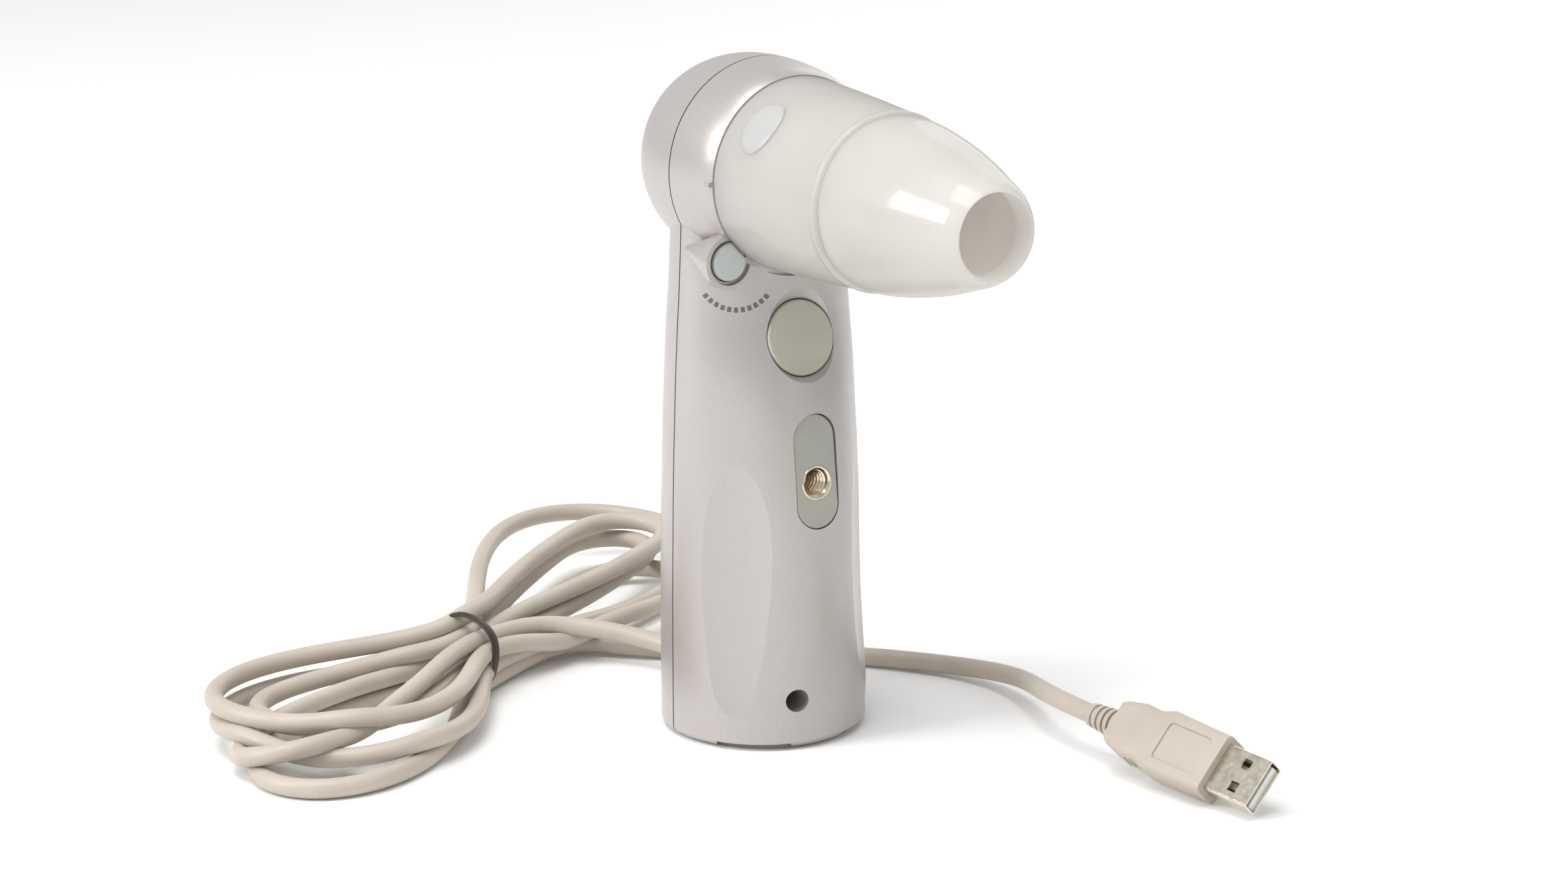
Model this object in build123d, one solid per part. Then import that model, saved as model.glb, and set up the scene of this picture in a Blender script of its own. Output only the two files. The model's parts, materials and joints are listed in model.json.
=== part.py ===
"""Handheld inspection camera that stands on its own foot.

A grip split into a front and a rear shell carries a round head with a clip-on lens unit, a large
shutter button, a lens release, a tripod insert and a USB lead tied in a loose hank.
Units are millimetres. +Z is up, the lens looks along -Y, and the origin is the middle of the
foot's underside.
"""
from math import asin, cos, pi, radians, sin, sqrt, tan
import os

from build123d import *

# ---------------------------------------------------------------- driving dimensions
AXIS_HEIGHT = 133.2          # lens axis above the floor
SPLIT_Y = 1.3                # plane in which the two shells meet
WALL = 2.2                   # thickness of the shells
SEAM_GAP = 0.3               # shadow gap along the split
SEAM_DEPTH = 0.9             # how far the shadow gap reaches into the wall

HEAD_R = 24.4                # round head at the split
HEAD_FRONT_Y = -13.4         # front rim of the head
HEAD_FRONT_R = 22.3          # radius of that rim
DOME_DEPTH = 28.5            # rear dome, measured from the split

COLLAR_REAR_R = 22.0         # lens collar next to the head
COLLAR_FRONT_R = 20.0        # lens collar next to its lip
COLLAR_LIP_R = 20.2
NOSE_SEAM_Y = -50.6          # seam between collar and nose
NOSE_TIP_Y = -88.9
APERTURE_R = 9.3             # open mouth of the nose
LEDGE_Y = -82.7              # ledge inside the mouth
LENS_R = 8.95                # lens elements
SPIGOT_R = 17.8              # plug-in part of the collar
SPIGOT_REAR_Y = -5.5

BASE_GAP = 0.3               # shells stand this far above the floor
BASE_ROUND = 2.6             # round of the lower edge
EDGE_CLEAR = 0.15            # the round starts this far outside the wall
FOOT_R = 21.3                # rubber foot plate
FOOT_THICK = 1.7

BUTTON_R = 8.7               # shutter button
BUTTON_AT = (0, -16.3, 96.0)  # where its axis leaves the grip
BUTTON_LEAN = 15             # degrees that its face leans back

SWITCH_POST_X = 12.2         # posts of the switch board, either side of the middle

PLATE_R = 5.5                # end radius of the obround tripod plate
PLATE_LENGTH = 26.4
PLATE_THICK = 1.9
PLATE_AT = (0, -21.5, 65.7)  # middle of its face
PLATE_LEAN = 7               # degrees that its face leans back
INSERT_DROP = 2.65           # the insert is this far below the plate's middle
INSERT_PROUD = 0.15
INSERT_CHAMFER = 0.7
INSERT_R = 4.0               # outside of the threaded insert
INSERT_BORE_R = 2.6          # minor radius of a 1/4-20 thread
INSERT_LENGTH = 10.0

RELEASE_AT = (-18.3, 115.3)  # x and z of the lens release
RELEASE_R = 4.35
RELEASE_REAR_Y = -9.0        # back of its cap
RELEASE_STOP_Y = -6.8        # the cap stops here when pressed
SHANK_R = 2.4                # guide shank behind the cap
SHANK_REAR_Y = -5.4
SPRING_R = 1.6
SPRING_WIRE_R = 0.3
TOOTH_Y = (-9.0, -7.2)       # front and back of the latch tooth
POD_R = 6.3                  # round housing of the lens release
POD_FRONT_Y = -14.5
POD_TAIL_Y = (-12.0, -0.6)   # where the housing starts to taper, and the tip of its tail
POD_TAIL_SHIFT = (-2.6, 0.8)  # x and z of the tip, from the release
POD_TIP_R = 0.8

HOLE_AT = (-5.7, 12.0)       # x and z of the locating hole
HOLE_R = 2.7

BADGE_TURN = 49.0            # degrees from the top of the collar, towards -X
BADGE_Y = -24.2
BADGE_SIZE = (5.3, 6.6)      # half length along the lens axis and half width round it

SCREW_AT = [(-17.6, 30), (17.6, 30), (-17.2, 84), (17.2, 84)]
CORD_D = 4.5
CORD_HEIGHT = 6.5            # axis of the lead where it leaves the foot
GLAND_FACE_Y = 24.2

HANK_AT = (-50, 55)          # middle of the tied hank on the floor
HANK_TURN = 29.5             # direction of its long axis, degrees from +X
BUNDLE_HEIGHT = 9.6          # middle of the strands in the tie
BUNDLE_SEMI = (10, 8.7)
TIE_WIDTH = 2.6
TIE_THICK = 0.75

PLUG_AT = (54.2, -102.3, 7.8)  # where the metal shell leaves the plug body
PLUG_HEADING = 7.5           # degrees from -Y towards +X
PLUG_DROP = 3                # degrees that the shell end points down
PLUG_ROLL = 47               # degrees that the broad face leans towards -X
PLUG_BODY = (31, 15.6, 8.2)  # length, width and thickness
PLUG_SHELL = (12.5, 12.0, 4.5)
RELIEF_LENGTH = 9
RELIEF_STRAIGHT = 14         # the lead stays in line with the plug this far behind the sleeve

# route of the lead where it isn't in the hank: from the foot, and on to the plug
LEAD_ROUTE = [
    (0, GLAND_FACE_Y, CORD_HEIGHT), (0, 34, 6.6), (-4.5, 45, 7.4), (-13, 56, 8.8), (-26, 63, 10.5)]
PLUG_ROUTE = [
    (-16, 68, 3), (-1, 51, 2.6), (18, 37.5, 2.4), (41, 18, 2.4), (57, -4, 2.8), (58, -24, 5.8)]

# levels of the grip: height, half width, rear depth, front depth, flank flattening
GRIP = [
    (BASE_GAP, 24.4, 22.8, 23.4, 0.0),
    (8, 24.4, 22.8, 23.4, 0.0),
    (16, 24.4, 22.8, 23.4, 0.2),
    (26, 24.4, 22.7, 23.4, 0.9),
    (38, 24.3, 22.6, 23.4, 1.4),
    (50, 24.1, 22.5, 23.4, 1.6),
    (56, 24.0, 22.4, 23.2, 1.65),
    (62, 23.85, 22.3, 22.8, 1.7),
    (72, 23.6, 22.1, 21.7, 1.7),
    (80, 23.3, 21.9, 20.6, 1.6),
    (88, 23.0, 21.6, 18.8, 1.3),
    (96, 22.6, 21.2, 16.5, 1.1),
    (104, 22.1, 20.7, 14.9, 0.8),
    (112, 21.7, 20.2, 14.6, 0.5),
    (124, 21.1, 19.6, 14.4, 0.3),
]

# finger hollow on each flank: an ellipsoid cut into the grip
SCOOP_TURN = 50              # degrees from the front towards the flank
SCOOP_HEIGHT = 49
SCOOP_FLOOR_R = 20.6         # its deepest place, from the grip's axis
SCOOP_SEMI = (31.6, 20, 76)  # round the grip, outwards and upwards

LENS_AXIS = Axis((0, 0, AXIS_HEIGHT), (0, 1, 0))


# ---------------------------------------------------------------- helpers
def at_lens(y, r):
    """A point above the lens axis, at distance r from it."""
    return (0, y, AXIS_HEIGHT + r)


def turned(*edges):
    """Solid of revolution about the lens axis from a closed outline."""
    return revolve(make_face(edges), LENS_AXIS, 360)


def turned_outline(*points):
    """Solid of revolution about the lens axis from straight (y, r) corners."""
    return turned(Polyline(*[at_lens(y, r) for y, r in points], close=True))


def lens_ring(y_front, y_rear, r_in, r_out):
    return turned_outline((y_front, r_in), (y_front, r_out), (y_rear, r_out), (y_rear, r_in))


def rod(start, end, radius):
    """Round bar between two points."""
    start, end = Vector(*start), Vector(*end)
    plane = Plane(origin=start, z_dir=end - start)
    return extrude(plane * Circle(radius), (end - start).length)


def block(low, high):
    """Box between two corners."""
    size = [high[i] - low[i] for i in range(3)]
    middle = [(high[i] + low[i]) / 2 for i in range(3)]
    return Pos(*middle) * Box(*size)


def grip_outline(level, side, inset):
    """Points round one half of the grip, from +X to -X. side is -1 for the front half."""
    height, half, rear, front, flat = level
    depth = (front + SPLIT_Y) if side < 0 else (rear - SPLIT_Y)
    count = 20 if side < 0 else 10
    points = []
    for i in range(count + 1):
        turn = pi * i / count
        near = min(turn, pi - turn)
        cut = 0
        if side < 0:
            cut = flat * sin(min(near / radians(78), 1) * pi) ** 2
        nx, ny = cos(turn) / half, sin(turn) / depth
        length = sqrt(nx * nx + ny * ny)
        back = (cut + inset) / length
        x = half * cos(turn) - nx * back
        y = depth * sin(turn) - ny * back
        points.append((x, SPLIT_Y + side * y, height))
    return points


def grip_half(side, inset, lowest):
    """Solid half of the grip, drawn in by inset all round and starting at a height."""
    faces = []
    for level in GRIP:
        height = max(level[0], lowest)
        if faces and height <= lowest:
            continue
        points = grip_outline((height, *level[1:]), side, inset)
        curve = Spline(*points, tangents=[(0, side, 0), (0, -side, 0)], tangent_scalars=(1, 1))
        faces.append(make_face([curve, Line(points[-1], points[0])]))
    return loft(faces)


def head_half(side, inset):
    """Solid half of the round head, drawn in by inset. side is -1 for the front half."""
    top = at_lens(SPLIT_Y, HEAD_R - inset)
    middle = at_lens(SPLIT_Y, 0)
    if side < 0:
        rim = at_lens(HEAD_FRONT_Y + inset, HEAD_FRONT_R - inset)
        half_way = at_lens(-6.5, HEAD_R - 0.45 - inset)
        curve = Spline(top, half_way, rim, tangents=[(0, -1, 0), (0, -1, -0.55)])
        end = at_lens(HEAD_FRONT_Y + inset, 0)
        return turned(curve, Line(rim, end), Line(end, middle), Line(middle, top))
    depth = DOME_DEPTH - inset
    radius = HEAD_R - inset
    power = 2.45                       # fuller than an ellipsoid
    points = []
    for i in range(9):
        turn = pi / 2 * i / 8
        along = depth * sin(turn) ** (2 / power)
        across = radius * max(cos(turn), 0) ** (2 / power)
        points.append(at_lens(SPLIT_Y + along, across))
    points[-1] = at_lens(SPLIT_Y + depth, 0)
    curve = Spline(*points, tangents=[(0, 1, 0), (0, 0, -1)])
    return turned(curve, Line(points[-1], middle), Line(middle, top))


def finger_scoop(side, grow=0):
    """Ellipsoid of one finger hollow, larger all round by grow."""
    reach = SCOOP_FLOOR_R + SCOOP_SEMI[1]
    body = scale(Sphere(1), tuple(semi + grow for semi in SCOOP_SEMI))
    return Rot(0, 0, side * SCOOP_TURN) * Pos(0, -reach, SCOOP_HEIGHT) * body


def lower_edge_tool(side):
    """Ring that rounds the lower edge of one shell. It follows the shell's outline."""
    _, half, rear, front, _ = GRIP[0]
    depth = (front + SPLIT_Y) if side < 0 else (rear - SPLIT_Y)
    rim = half + EDGE_CLEAR
    big = rim + 3
    core = rim - BASE_ROUND
    low = BASE_GAP - 1
    top = BASE_GAP + BASE_ROUND
    slant = BASE_ROUND * sin(pi / 4)
    sides = Polyline((core, 0, BASE_GAP), (core, 0, low), (big, 0, low), (big, 0, top), (rim, 0, top))
    arc = ThreePointArc((rim, 0, top), (core + slant, 0, top - slant), (core, 0, BASE_GAP))
    ring = revolve(make_face([sides, arc]), Axis.Z, 360)
    return Pos(0, SPLIT_Y, 0) * scale(ring, (1, depth / half, 1))


def button_plane():
    """Plane of the shutter button, its normal pointing out of the grip."""
    lean = radians(BUTTON_LEAN)
    return Plane(origin=BUTTON_AT, x_dir=(1, 0, 0), z_dir=(0, -cos(lean), sin(lean)))


def button_disc(low, high, radius):
    """Disc about the shutter button's axis, between two depths along it."""
    return extrude(button_plane().offset(low) * Circle(radius), high - low)


def plate_plane():
    """Plane of the tripod plate's face, its normal pointing out of the grip."""
    lean = radians(PLATE_LEAN)
    return Plane(origin=PLATE_AT, x_dir=(1, 0, 0), z_dir=(0, -cos(lean), sin(lean)))


def plate_slab(low, high, grow=0):
    """Obround slab between two depths from the plate's face."""
    outline = SlotOverall(PLATE_LENGTH + 2 * grow, 2 * (PLATE_R + grow), rotation=90)
    return extrude(plate_plane().offset(low) * outline, high - low)


def insert_rod(low, high, radius, taper=0):
    """Round bar on the tripod insert's axis between two depths from the plate's face."""
    plane = plate_plane().offset(low) * Pos(0, -INSERT_DROP)
    return extrude(plane * Circle(radius), high - low, taper=taper)


def release_rod(y_front, y_rear, radius):
    x, z = RELEASE_AT
    return rod((x, y_front, z), (x, y_rear, z), radius)


def toward_lens(low, high, width, y_front, y_rear):
    """Bar that lies on the line from the lens axis to the lens release."""
    x, z = RELEASE_AT[0], RELEASE_AT[1] - AXIS_HEIGHT
    far = sqrt(x * x + z * z)
    plane = Plane(origin=(0, y_rear, AXIS_HEIGHT), x_dir=(x / far, 0, z / far), z_dir=(0, -1, 0))
    bar = plane * Pos((low + high) / 2, 0) * Rectangle(high - low, width)
    return extrude(bar, y_rear - y_front)


def spring(start, end, radius, wire, turns):
    """Coil spring along Y."""
    length = abs(end[1] - start[1]) - 2 * wire
    plane = Plane(origin=(start[0], start[1] + wire, start[2]), z_dir=(0, 1, 0))
    path = Helix(pitch=length / turns, height=length, radius=radius)
    section = Plane(origin=path @ 0, z_dir=path % 0) * Circle(wire)
    return plane * sweep(section, path=path)


# ---------------------------------------------------------------- shells
def make_front_shell():
    outer = grip_half(-1, 0, BASE_GAP) + head_half(-1, 0)
    # the grip's front stops under the collar, clear of the lens unit
    saddle = lens_ring(HEAD_FRONT_Y - 20, HEAD_FRONT_Y, 0, COLLAR_REAR_R + 1.1)
    outer -= saddle
    pod_nose = release_rod(POD_FRONT_Y, POD_TAIL_Y[0], POD_R)
    x, z = RELEASE_AT
    root = Plane(origin=(x, POD_TAIL_Y[0], z), x_dir=(1, 0, 0), z_dir=(0, 1, 0))
    tip_at = (x + POD_TAIL_SHIFT[0], POD_TAIL_Y[1], z + POD_TAIL_SHIFT[1])
    tip = Plane(origin=tip_at, x_dir=(1, 0, 0), z_dir=(0, 1, 0))
    pod_tail = loft([root * Circle(POD_R), tip * Circle(POD_TIP_R)])
    outer += pod_nose + pod_tail - saddle

    hollow = grip_half(-1, WALL, BASE_GAP + 3.7) + head_half(-1, WALL)
    for flank in (-1, 1):
        outer -= finger_scoop(flank)
        hollow -= finger_scoop(flank, WALL)
    shell = outer - hollow
    shell -= lens_ring(HEAD_FRONT_Y - 1, HEAD_FRONT_Y + WALL + 1, 0, SPIGOT_R + 0.7)

    # bosses for the case screws, the insert and the locating hole
    for x, z in SCREW_AT:
        shell += rod((x, -16, z), (x, SPLIT_Y, z), 2.6) & outer
        shell -= rod((x, -7, z), (x, SPLIT_Y + 1, z), 1.0)
    shell += insert_rod(-9.7, -0.9, 6.0)
    shell += rod((HOLE_AT[0], -21, HOLE_AT[1]), (HOLE_AT[0], -14.5, HOLE_AT[1]), 4.2)
    shell -= rod((HOLE_AT[0], -30, HOLE_AT[1]), (HOLE_AT[0], -14, HOLE_AT[1]), HOLE_R)

    # tripod plate seat and insert bore
    shell -= plate_slab(-PLATE_THICK, 8, 0.2)
    shell -= insert_rod(-11, 8, INSERT_R + 0.02)

    # shutter button: dished bezel, guide hole and room for the flange
    bezel_plane = button_plane().offset(-1.3)
    bezel = extrude(bezel_plane * Circle(BUTTON_R + 0.25), 3.3, taper=-42)
    shell -= bezel
    shell -= button_disc(-6, 2, BUTTON_R + 0.25)
    shell -= button_disc(-9, -3.9, BUTTON_R + 1.6)

    # lens release: stepped bore for cap, shank and spring, annular pocket, slot for the tooth
    shell -= release_rod(POD_FRONT_Y - 5, RELEASE_STOP_Y, RELEASE_R + 0.3)
    shell -= release_rod(RELEASE_STOP_Y - 1, -3.0, SHANK_R + 0.3)
    shell -= release_rod(-4.0, SPLIT_Y + 1, SPRING_R + SPRING_WIRE_R + 0.25)
    shell -= release_rod(POD_FRONT_Y - 1, POD_FRONT_Y + 1.0, POD_R - 1.0)
    shell -= toward_lens(17.9, 25.6, 3.4, -10.6, -4.4)

    # alignment tick on the side of the head, beside the collar
    tick = block((-HEAD_FRONT_R - 1.0, HEAD_FRONT_Y, AXIS_HEIGHT - 0.55),
                 (-HEAD_FRONT_R + 0.6, HEAD_FRONT_Y + 2.8, AXIS_HEIGHT + 0.55))
    shell += chamfer(tick.edges().filter_by(Axis.Y).sort_by(Axis.X)[:2], 0.35)
    for turn in SOCKET_SCREW_TURN:
        shell -= socket_screw_rod(turn, -12.5, -10, 0.8)
    shell = foot_screw_holes(switch_posts(shell, outer))
    return rounded_base(shell, -1)


def rounded_base(shell, side):
    """Round the lower edge, sink the foot plate and cut the notches between the pads."""
    shell -= lower_edge_tool(side)
    shell -= extrude(Plane.XY * Circle(FOOT_R + 0.15), FOOT_THICK)
    for turn in (39.5, 140.5, 219.5, 320.5):
        notch = Rot(0, 0, turn - 90) * block((0, -8.6, 0), (30, 8.6, FOOT_THICK))
        shell -= notch
    return shell


def make_rear_shell():
    outer = grip_half(1, 0, BASE_GAP) + head_half(1, 0)
    hollow = grip_half(1, WALL, BASE_GAP + 3.7) + head_half(1, WALL)
    shell = outer - hollow
    for x, z in SCREW_AT:
        shell += rod((x, SPLIT_Y, z), (x, 20, z), 2.6) & outer
        shell -= rod((x, SPLIT_Y - 1, z), (x, 24, z), 1.25)
        shell -= rod((x, 8.5, z), (x, 24, z), 2.5)
    x, z = RELEASE_AT
    shell += rod((x, SPLIT_Y, z), (x, 9, z), 3.4) & outer
    # shadow gap along the split
    slab = block((-40, SPLIT_Y, -1), (40, SPLIT_Y + SEAM_GAP, 170))
    core = grip_half(1, SEAM_DEPTH, BASE_GAP) + head_half(1, SEAM_DEPTH)
    shell -= slab - core
    # outlet of the lead, and pillars for its clamp
    shell -= rod((0, 15, CORD_HEIGHT), (0, 30, CORD_HEIGHT), 3.2)
    for x in (-5.4, 5.4):
        shell += rod((x, 15.5, 3.5), (x, 15.5, CORD_HEIGHT + 2.3), 2.0)
        shell -= rod((x, 15.5, 5.0), (x, 15.5, 12), 0.85)
    shell = foot_screw_holes(board_posts(shell, outer))
    return rounded_base(shell, 1)


def make_shell_screws():
    screws = []
    for x, z in SCREW_AT:
        screw = rod((x, 8.5, z), (x, 10.1, z), 2.3) + rod((x, -5.5, z), (x, 8.5, z), 0.97)
        drive = rod((x, 9.3, z), (x, 10.1, z), 0.9)
        screws.append(screw - drive)
    return screws


# ---------------------------------------------------------------- foot
FOOT_SCREW_AT = [(15 * cos(radians(a)), 15 * sin(radians(a))) for a in (-90, 30, 150)]


def make_foot_plate():
    plate = extrude(Plane.XY * Circle(FOOT_R), FOOT_THICK)
    for x, y in FOOT_SCREW_AT:
        plate -= rod((x, y, -1), (x, y, 3), 1.5)
        plate -= rod((x, y, -1), (x, y, 1.2), 2.7)
    plate -= extrude(Plane.XY * (Circle(19.2) - Circle(18.4)), 0.5)
    return plate


def make_foot_screws():
    screws = []
    for x, y in FOOT_SCREW_AT:
        screw = rod((x, y, 0.3), (x, y, 1.2), 2.4) + rod((x, y, 1.2), (x, y, 5.5), 1.2)
        screws.append(screw - rod((x, y, 0.3), (x, y, 0.8), 0.9))
    return screws


def foot_screw_holes(shell):
    for x, y in FOOT_SCREW_AT:
        shell -= rod((x, y, 0), (x, y, 6), 1.22)
    return shell


# ---------------------------------------------------------------- shutter button
def make_shutter_button():
    cap = button_disc(-3.9, -0.8, BUTTON_R)
    cap = fillet(cap.edges().sort_by(Axis(BUTTON_AT, button_plane().z_dir))[-1], 0.6)
    flange = button_disc(-4.9, -4.1, BUTTON_R + 1.1)
    neck = button_disc(-4.2, -3.8, BUTTON_R)
    stem = button_disc(-6.6, -4.9, 1.8)
    return cap + neck + flange + stem


def make_shutter_dome():
    """Rubber dome between the button's stem and the switch."""
    return button_disc(-7.3, -6.6, 1.9) + button_disc(-7.3, -7.0, 2.7)


def make_shutter_switch():
    plane = button_plane().offset(-8.1)
    return extrude(plane * RectangleRounded(6.2, 6.2, 0.6), 0.8)


def make_switch_board():
    plane = button_plane().offset(-9.3)
    board = extrude(plane * RectangleRounded(28.4, 13, 1.5), 1.2)
    for x in (-SWITCH_POST_X, SWITCH_POST_X):
        board -= extrude(plane * Pos(x, 0) * Circle(0.9), 1.2)
    return board


def switch_posts(shell, outer):
    """Two posts inside the front shell that carry the switch board."""
    for x in (-SWITCH_POST_X, SWITCH_POST_X):
        post = extrude(button_plane().offset(-8.1) * Pos(x, 0) * Circle(2.0), 8)
        shell += post & outer
        shell -= extrude(button_plane().offset(-9) * Pos(x, 0) * Circle(0.8), 4.2)
    return shell


def make_switch_screws():
    screws = []
    for x in (-SWITCH_POST_X, SWITCH_POST_X):
        head = extrude(button_plane().offset(-10.4) * Pos(x, 0) * Circle(1.7), 1.1)
        shank = extrude(button_plane().offset(-9.3) * Pos(x, 0) * Circle(0.76), 4.0)
        screws.append(head + shank)
    return screws


# ---------------------------------------------------------------- tripod plate
def make_tripod_plate():
    plate = plate_slab(-PLATE_THICK, 0)
    front = plate.faces().sort_by(Axis.Y)[0]
    plate = fillet(front.edges(), 0.35)
    return plate - insert_rod(-PLATE_THICK - 1, 1, INSERT_R + 0.02)


def make_tripod_insert():
    """Closed-ended bush with a chamfered mouth; its bore has the thread's minor radius."""
    body = insert_rod(INSERT_PROUD - INSERT_LENGTH, INSERT_PROUD, INSERT_R)
    bore = insert_rod(INSERT_PROUD - INSERT_LENGTH + 1, 1, INSERT_BORE_R)
    mouth = insert_rod(INSERT_PROUD - INSERT_CHAMFER, INSERT_PROUD, INSERT_BORE_R, taper=-45)
    return body - bore - mouth


# ---------------------------------------------------------------- lens release
def make_release_button():
    """Round cap of the lens release; its top is cut back to clear the collar."""
    cap = release_rod(POD_FRONT_Y - 0.2, RELEASE_REAR_Y, RELEASE_R)
    cap = fillet(cap.edges().sort_by(Axis.Y)[0], 0.8)
    return cap - lens_ring(HEAD_FRONT_Y - 20, HEAD_FRONT_Y, 0, COLLAR_REAR_R + 0.6)


def make_release_latch():
    """Shank and tooth behind the cap; the tooth reaches in to the lens spigot."""
    shank = release_rod(RELEASE_REAR_Y, SHANK_REAR_Y, SHANK_R)
    return shank + toward_lens(SPIGOT_R + 0.3, 25.6, 3.0, *TOOTH_Y)


def make_release_spring():
    x, z = RELEASE_AT
    return spring((x, SHANK_REAR_Y, z), (x, SPLIT_Y, z), SPRING_R, SPRING_WIRE_R, 5)


# ---------------------------------------------------------------- lens unit
def make_lens_collar():
    rear = HEAD_FRONT_Y - 0.3
    front = NOSE_SEAM_Y + 0.1
    start, end = at_lens(rear, COLLAR_REAR_R), at_lens(front + 2.3, COLLAR_FRONT_R)
    side = Spline(start, at_lens(-32, COLLAR_FRONT_R + 1.15), end)
    lip_top = at_lens(front + 0.9, COLLAR_LIP_R)
    lip_end = at_lens(front, COLLAR_LIP_R - 0.8)
    lip = Spline(end, at_lens(front + 1.6, COLLAR_LIP_R - 0.05), lip_top, lip_end)
    back = Polyline(
        lip_end, at_lens(front, 17.4), at_lens(-44, 17.4), at_lens(-44, 18.0), at_lens(-15.8, 19.6),
        at_lens(-15.8, 15.9), at_lens(SPIGOT_REAR_Y, 15.9), at_lens(SPIGOT_REAR_Y, SPIGOT_R),
        at_lens(rear, SPIGOT_R), start)
    collar = turned(side, lip, back)
    return collar - lens_ring(TOOTH_Y[0] - 0.3, TOOTH_Y[1] + 0.3, SPIGOT_R - 0.6, SPIGOT_R + 1)


def make_lens_nose():
    seam = NOSE_SEAM_Y + 0.1
    shoulder = at_lens(seam, 19.2)
    tip = at_lens(NOSE_TIP_Y, APERTURE_R + 0.6)
    outside = Spline(
        shoulder, at_lens(-53, 19.5), at_lens(-59, 19.0), at_lens(-67, 17.5), at_lens(-75, 15.4),
        at_lens(-82, 13.1), at_lens(-87.6, 10.85), tip)
    mouth = at_lens(NOSE_TIP_Y + 0.7, APERTURE_R)
    rim = ThreePointArc(tip, at_lens(NOSE_TIP_Y + 0.1, APERTURE_R + 0.25), mouth)
    # the mouth's wall is thick as far as a ledge, then the chamber widens
    ledge = Polyline(mouth, at_lens(LEDGE_Y, APERTURE_R), at_lens(LEDGE_Y, APERTURE_R + 1.6))
    inside = Spline(ledge @ 1, at_lens(-74, 13.5), at_lens(-64, 15.2), at_lens(-56, 15.6))
    inner_end = at_lens(-44.4, 15.6)
    back = Polyline(inside @ 1, inner_end, at_lens(-44.4, 17.35), at_lens(seam, 17.35), shoulder)
    return turned(outside, rim, ledge, inside, back)


def make_lens_badge():
    """Thin oval badge that follows the collar."""
    turn, y = BADGE_TURN, BADGE_Y
    direction = Vector(-sin(radians(turn)), 0, cos(radians(turn)))
    origin = Vector(0, y, AXIS_HEIGHT) + direction * 15
    plane = Plane(origin=origin, x_dir=(0, -1, 0), z_dir=direction)
    oval = extrude(plane * Ellipse(*BADGE_SIZE), 15)
    layer = lens_ring_tapered(HEAD_FRONT_Y - 1, -34, 0.12)
    return oval & layer


def lens_ring_tapered(y_rear, y_front, thick):
    """Thin skin that lies on the outside of the collar."""
    rear = HEAD_FRONT_Y - 0.3
    end = at_lens(NOSE_SEAM_Y + 2.4, COLLAR_FRONT_R)
    side = Spline(at_lens(rear, COLLAR_REAR_R), at_lens(-32, COLLAR_FRONT_R + 1.15), end)
    lift = Vector(0, 0, thick)
    a, b = side @ 0.02, side @ 0.75
    piece = side.trim(0.02, 0.75)
    top = piece.translate(lift)
    return turned(piece, Line(b, b + lift), top, Line(a + lift, a))


def make_lens_barrel():
    tube = lens_ring(-44, -17.6, 9.0, 11.0)
    flange = lens_ring(-17.6, -15.8, 9.0, 19.2)
    for i in range(LED_COUNT):
        turn = 2 * pi * (i + 0.5) / LED_COUNT
        x, z = 14.6 * cos(turn), AXIS_HEIGHT + 14.6 * sin(turn)
        flange -= rod((x, -18, z), (x, -15, z), 2.6)
    front_seat = lens_ring(-38.5, -37.0, 8.0, 9.0)
    rear_seat = lens_ring(-30, -28, 8.0, 9.0)
    return tube + flange + front_seat + rear_seat


def plano_convex(y_flat, y_edge, bulge):
    """Lens element: a flat face, a short cylindrical edge and a spherical cap."""
    away = 1 if y_edge > y_flat else -1
    ball = (LENS_R ** 2 + bulge ** 2) / (2 * bulge)
    half = asin(LENS_R / ball) / 2
    crown = y_edge + away * bulge
    middle = at_lens(crown - away * ball * (1 - cos(half)), ball * sin(half))
    cap = ThreePointArc(at_lens(crown, 0), middle, at_lens(y_edge, LENS_R))
    sides = Polyline(at_lens(y_edge, LENS_R), at_lens(y_flat, LENS_R), at_lens(y_flat, 0), at_lens(crown, 0))
    return turned(cap, sides)


def make_front_lens():
    return plano_convex(-38.5, -41, 1.6)


def make_rear_lens():
    return plano_convex(-28, -25, 1.4)


def make_lens_retainer():
    """Ring in front of the front element and ring behind the rear one."""
    return [lens_ring(-43.6, -41.3, 8.2, LENS_R), lens_ring(-24.7, -23.2, 8.2, LENS_R)]


# ---------------------------------------------------------------- optics in the head
LED_COUNT = 8
SOCKET_SCREW_TURN = (90, 200, 330)


def make_lens_socket():
    ring = lens_ring(HEAD_FRONT_Y + WALL, -4.5, SPIGOT_R + 0.15, 20.0)
    ring -= toward_lens(17, 21, 3.6, -10.6, -4.4)
    for turn in SOCKET_SCREW_TURN:
        ring -= socket_screw_rod(turn, -12, -4, 0.8)
    return ring


def socket_screw_rod(turn, y_front, y_rear, radius):
    x, z = 19.0 * cos(radians(turn)), AXIS_HEIGHT + 19.0 * sin(radians(turn))
    return rod((x, y_front, z), (x, y_rear, z), radius)


def make_optic_mount():
    """Black mount that holds the light ring in front and the sensor board behind."""
    mount = lens_ring(-4.5, -2.7, 6.2, 20.0) + lens_ring(-8.2, 1.8, 6.2, 8.8)
    for x in (-10, 10):
        for z in (-10, 10):
            spot = AXIS_HEIGHT + z
            mount += rod((x, -2.7, spot), (x, 3.4, spot), 1.9)
            mount -= rod((x, -1, spot), (x, 4, spot), 0.8)
    for i in range(3):
        turn = radians(30 + 120 * i)
        x, z = 12.4 * cos(turn), AXIS_HEIGHT + 12.4 * sin(turn)
        mount += rod((x, -7.0, z), (x, -4.5, z), 1.4)
    for turn in SOCKET_SCREW_TURN:
        mount -= socket_screw_rod(turn, -5, -2, 0.8)
    return mount


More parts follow.
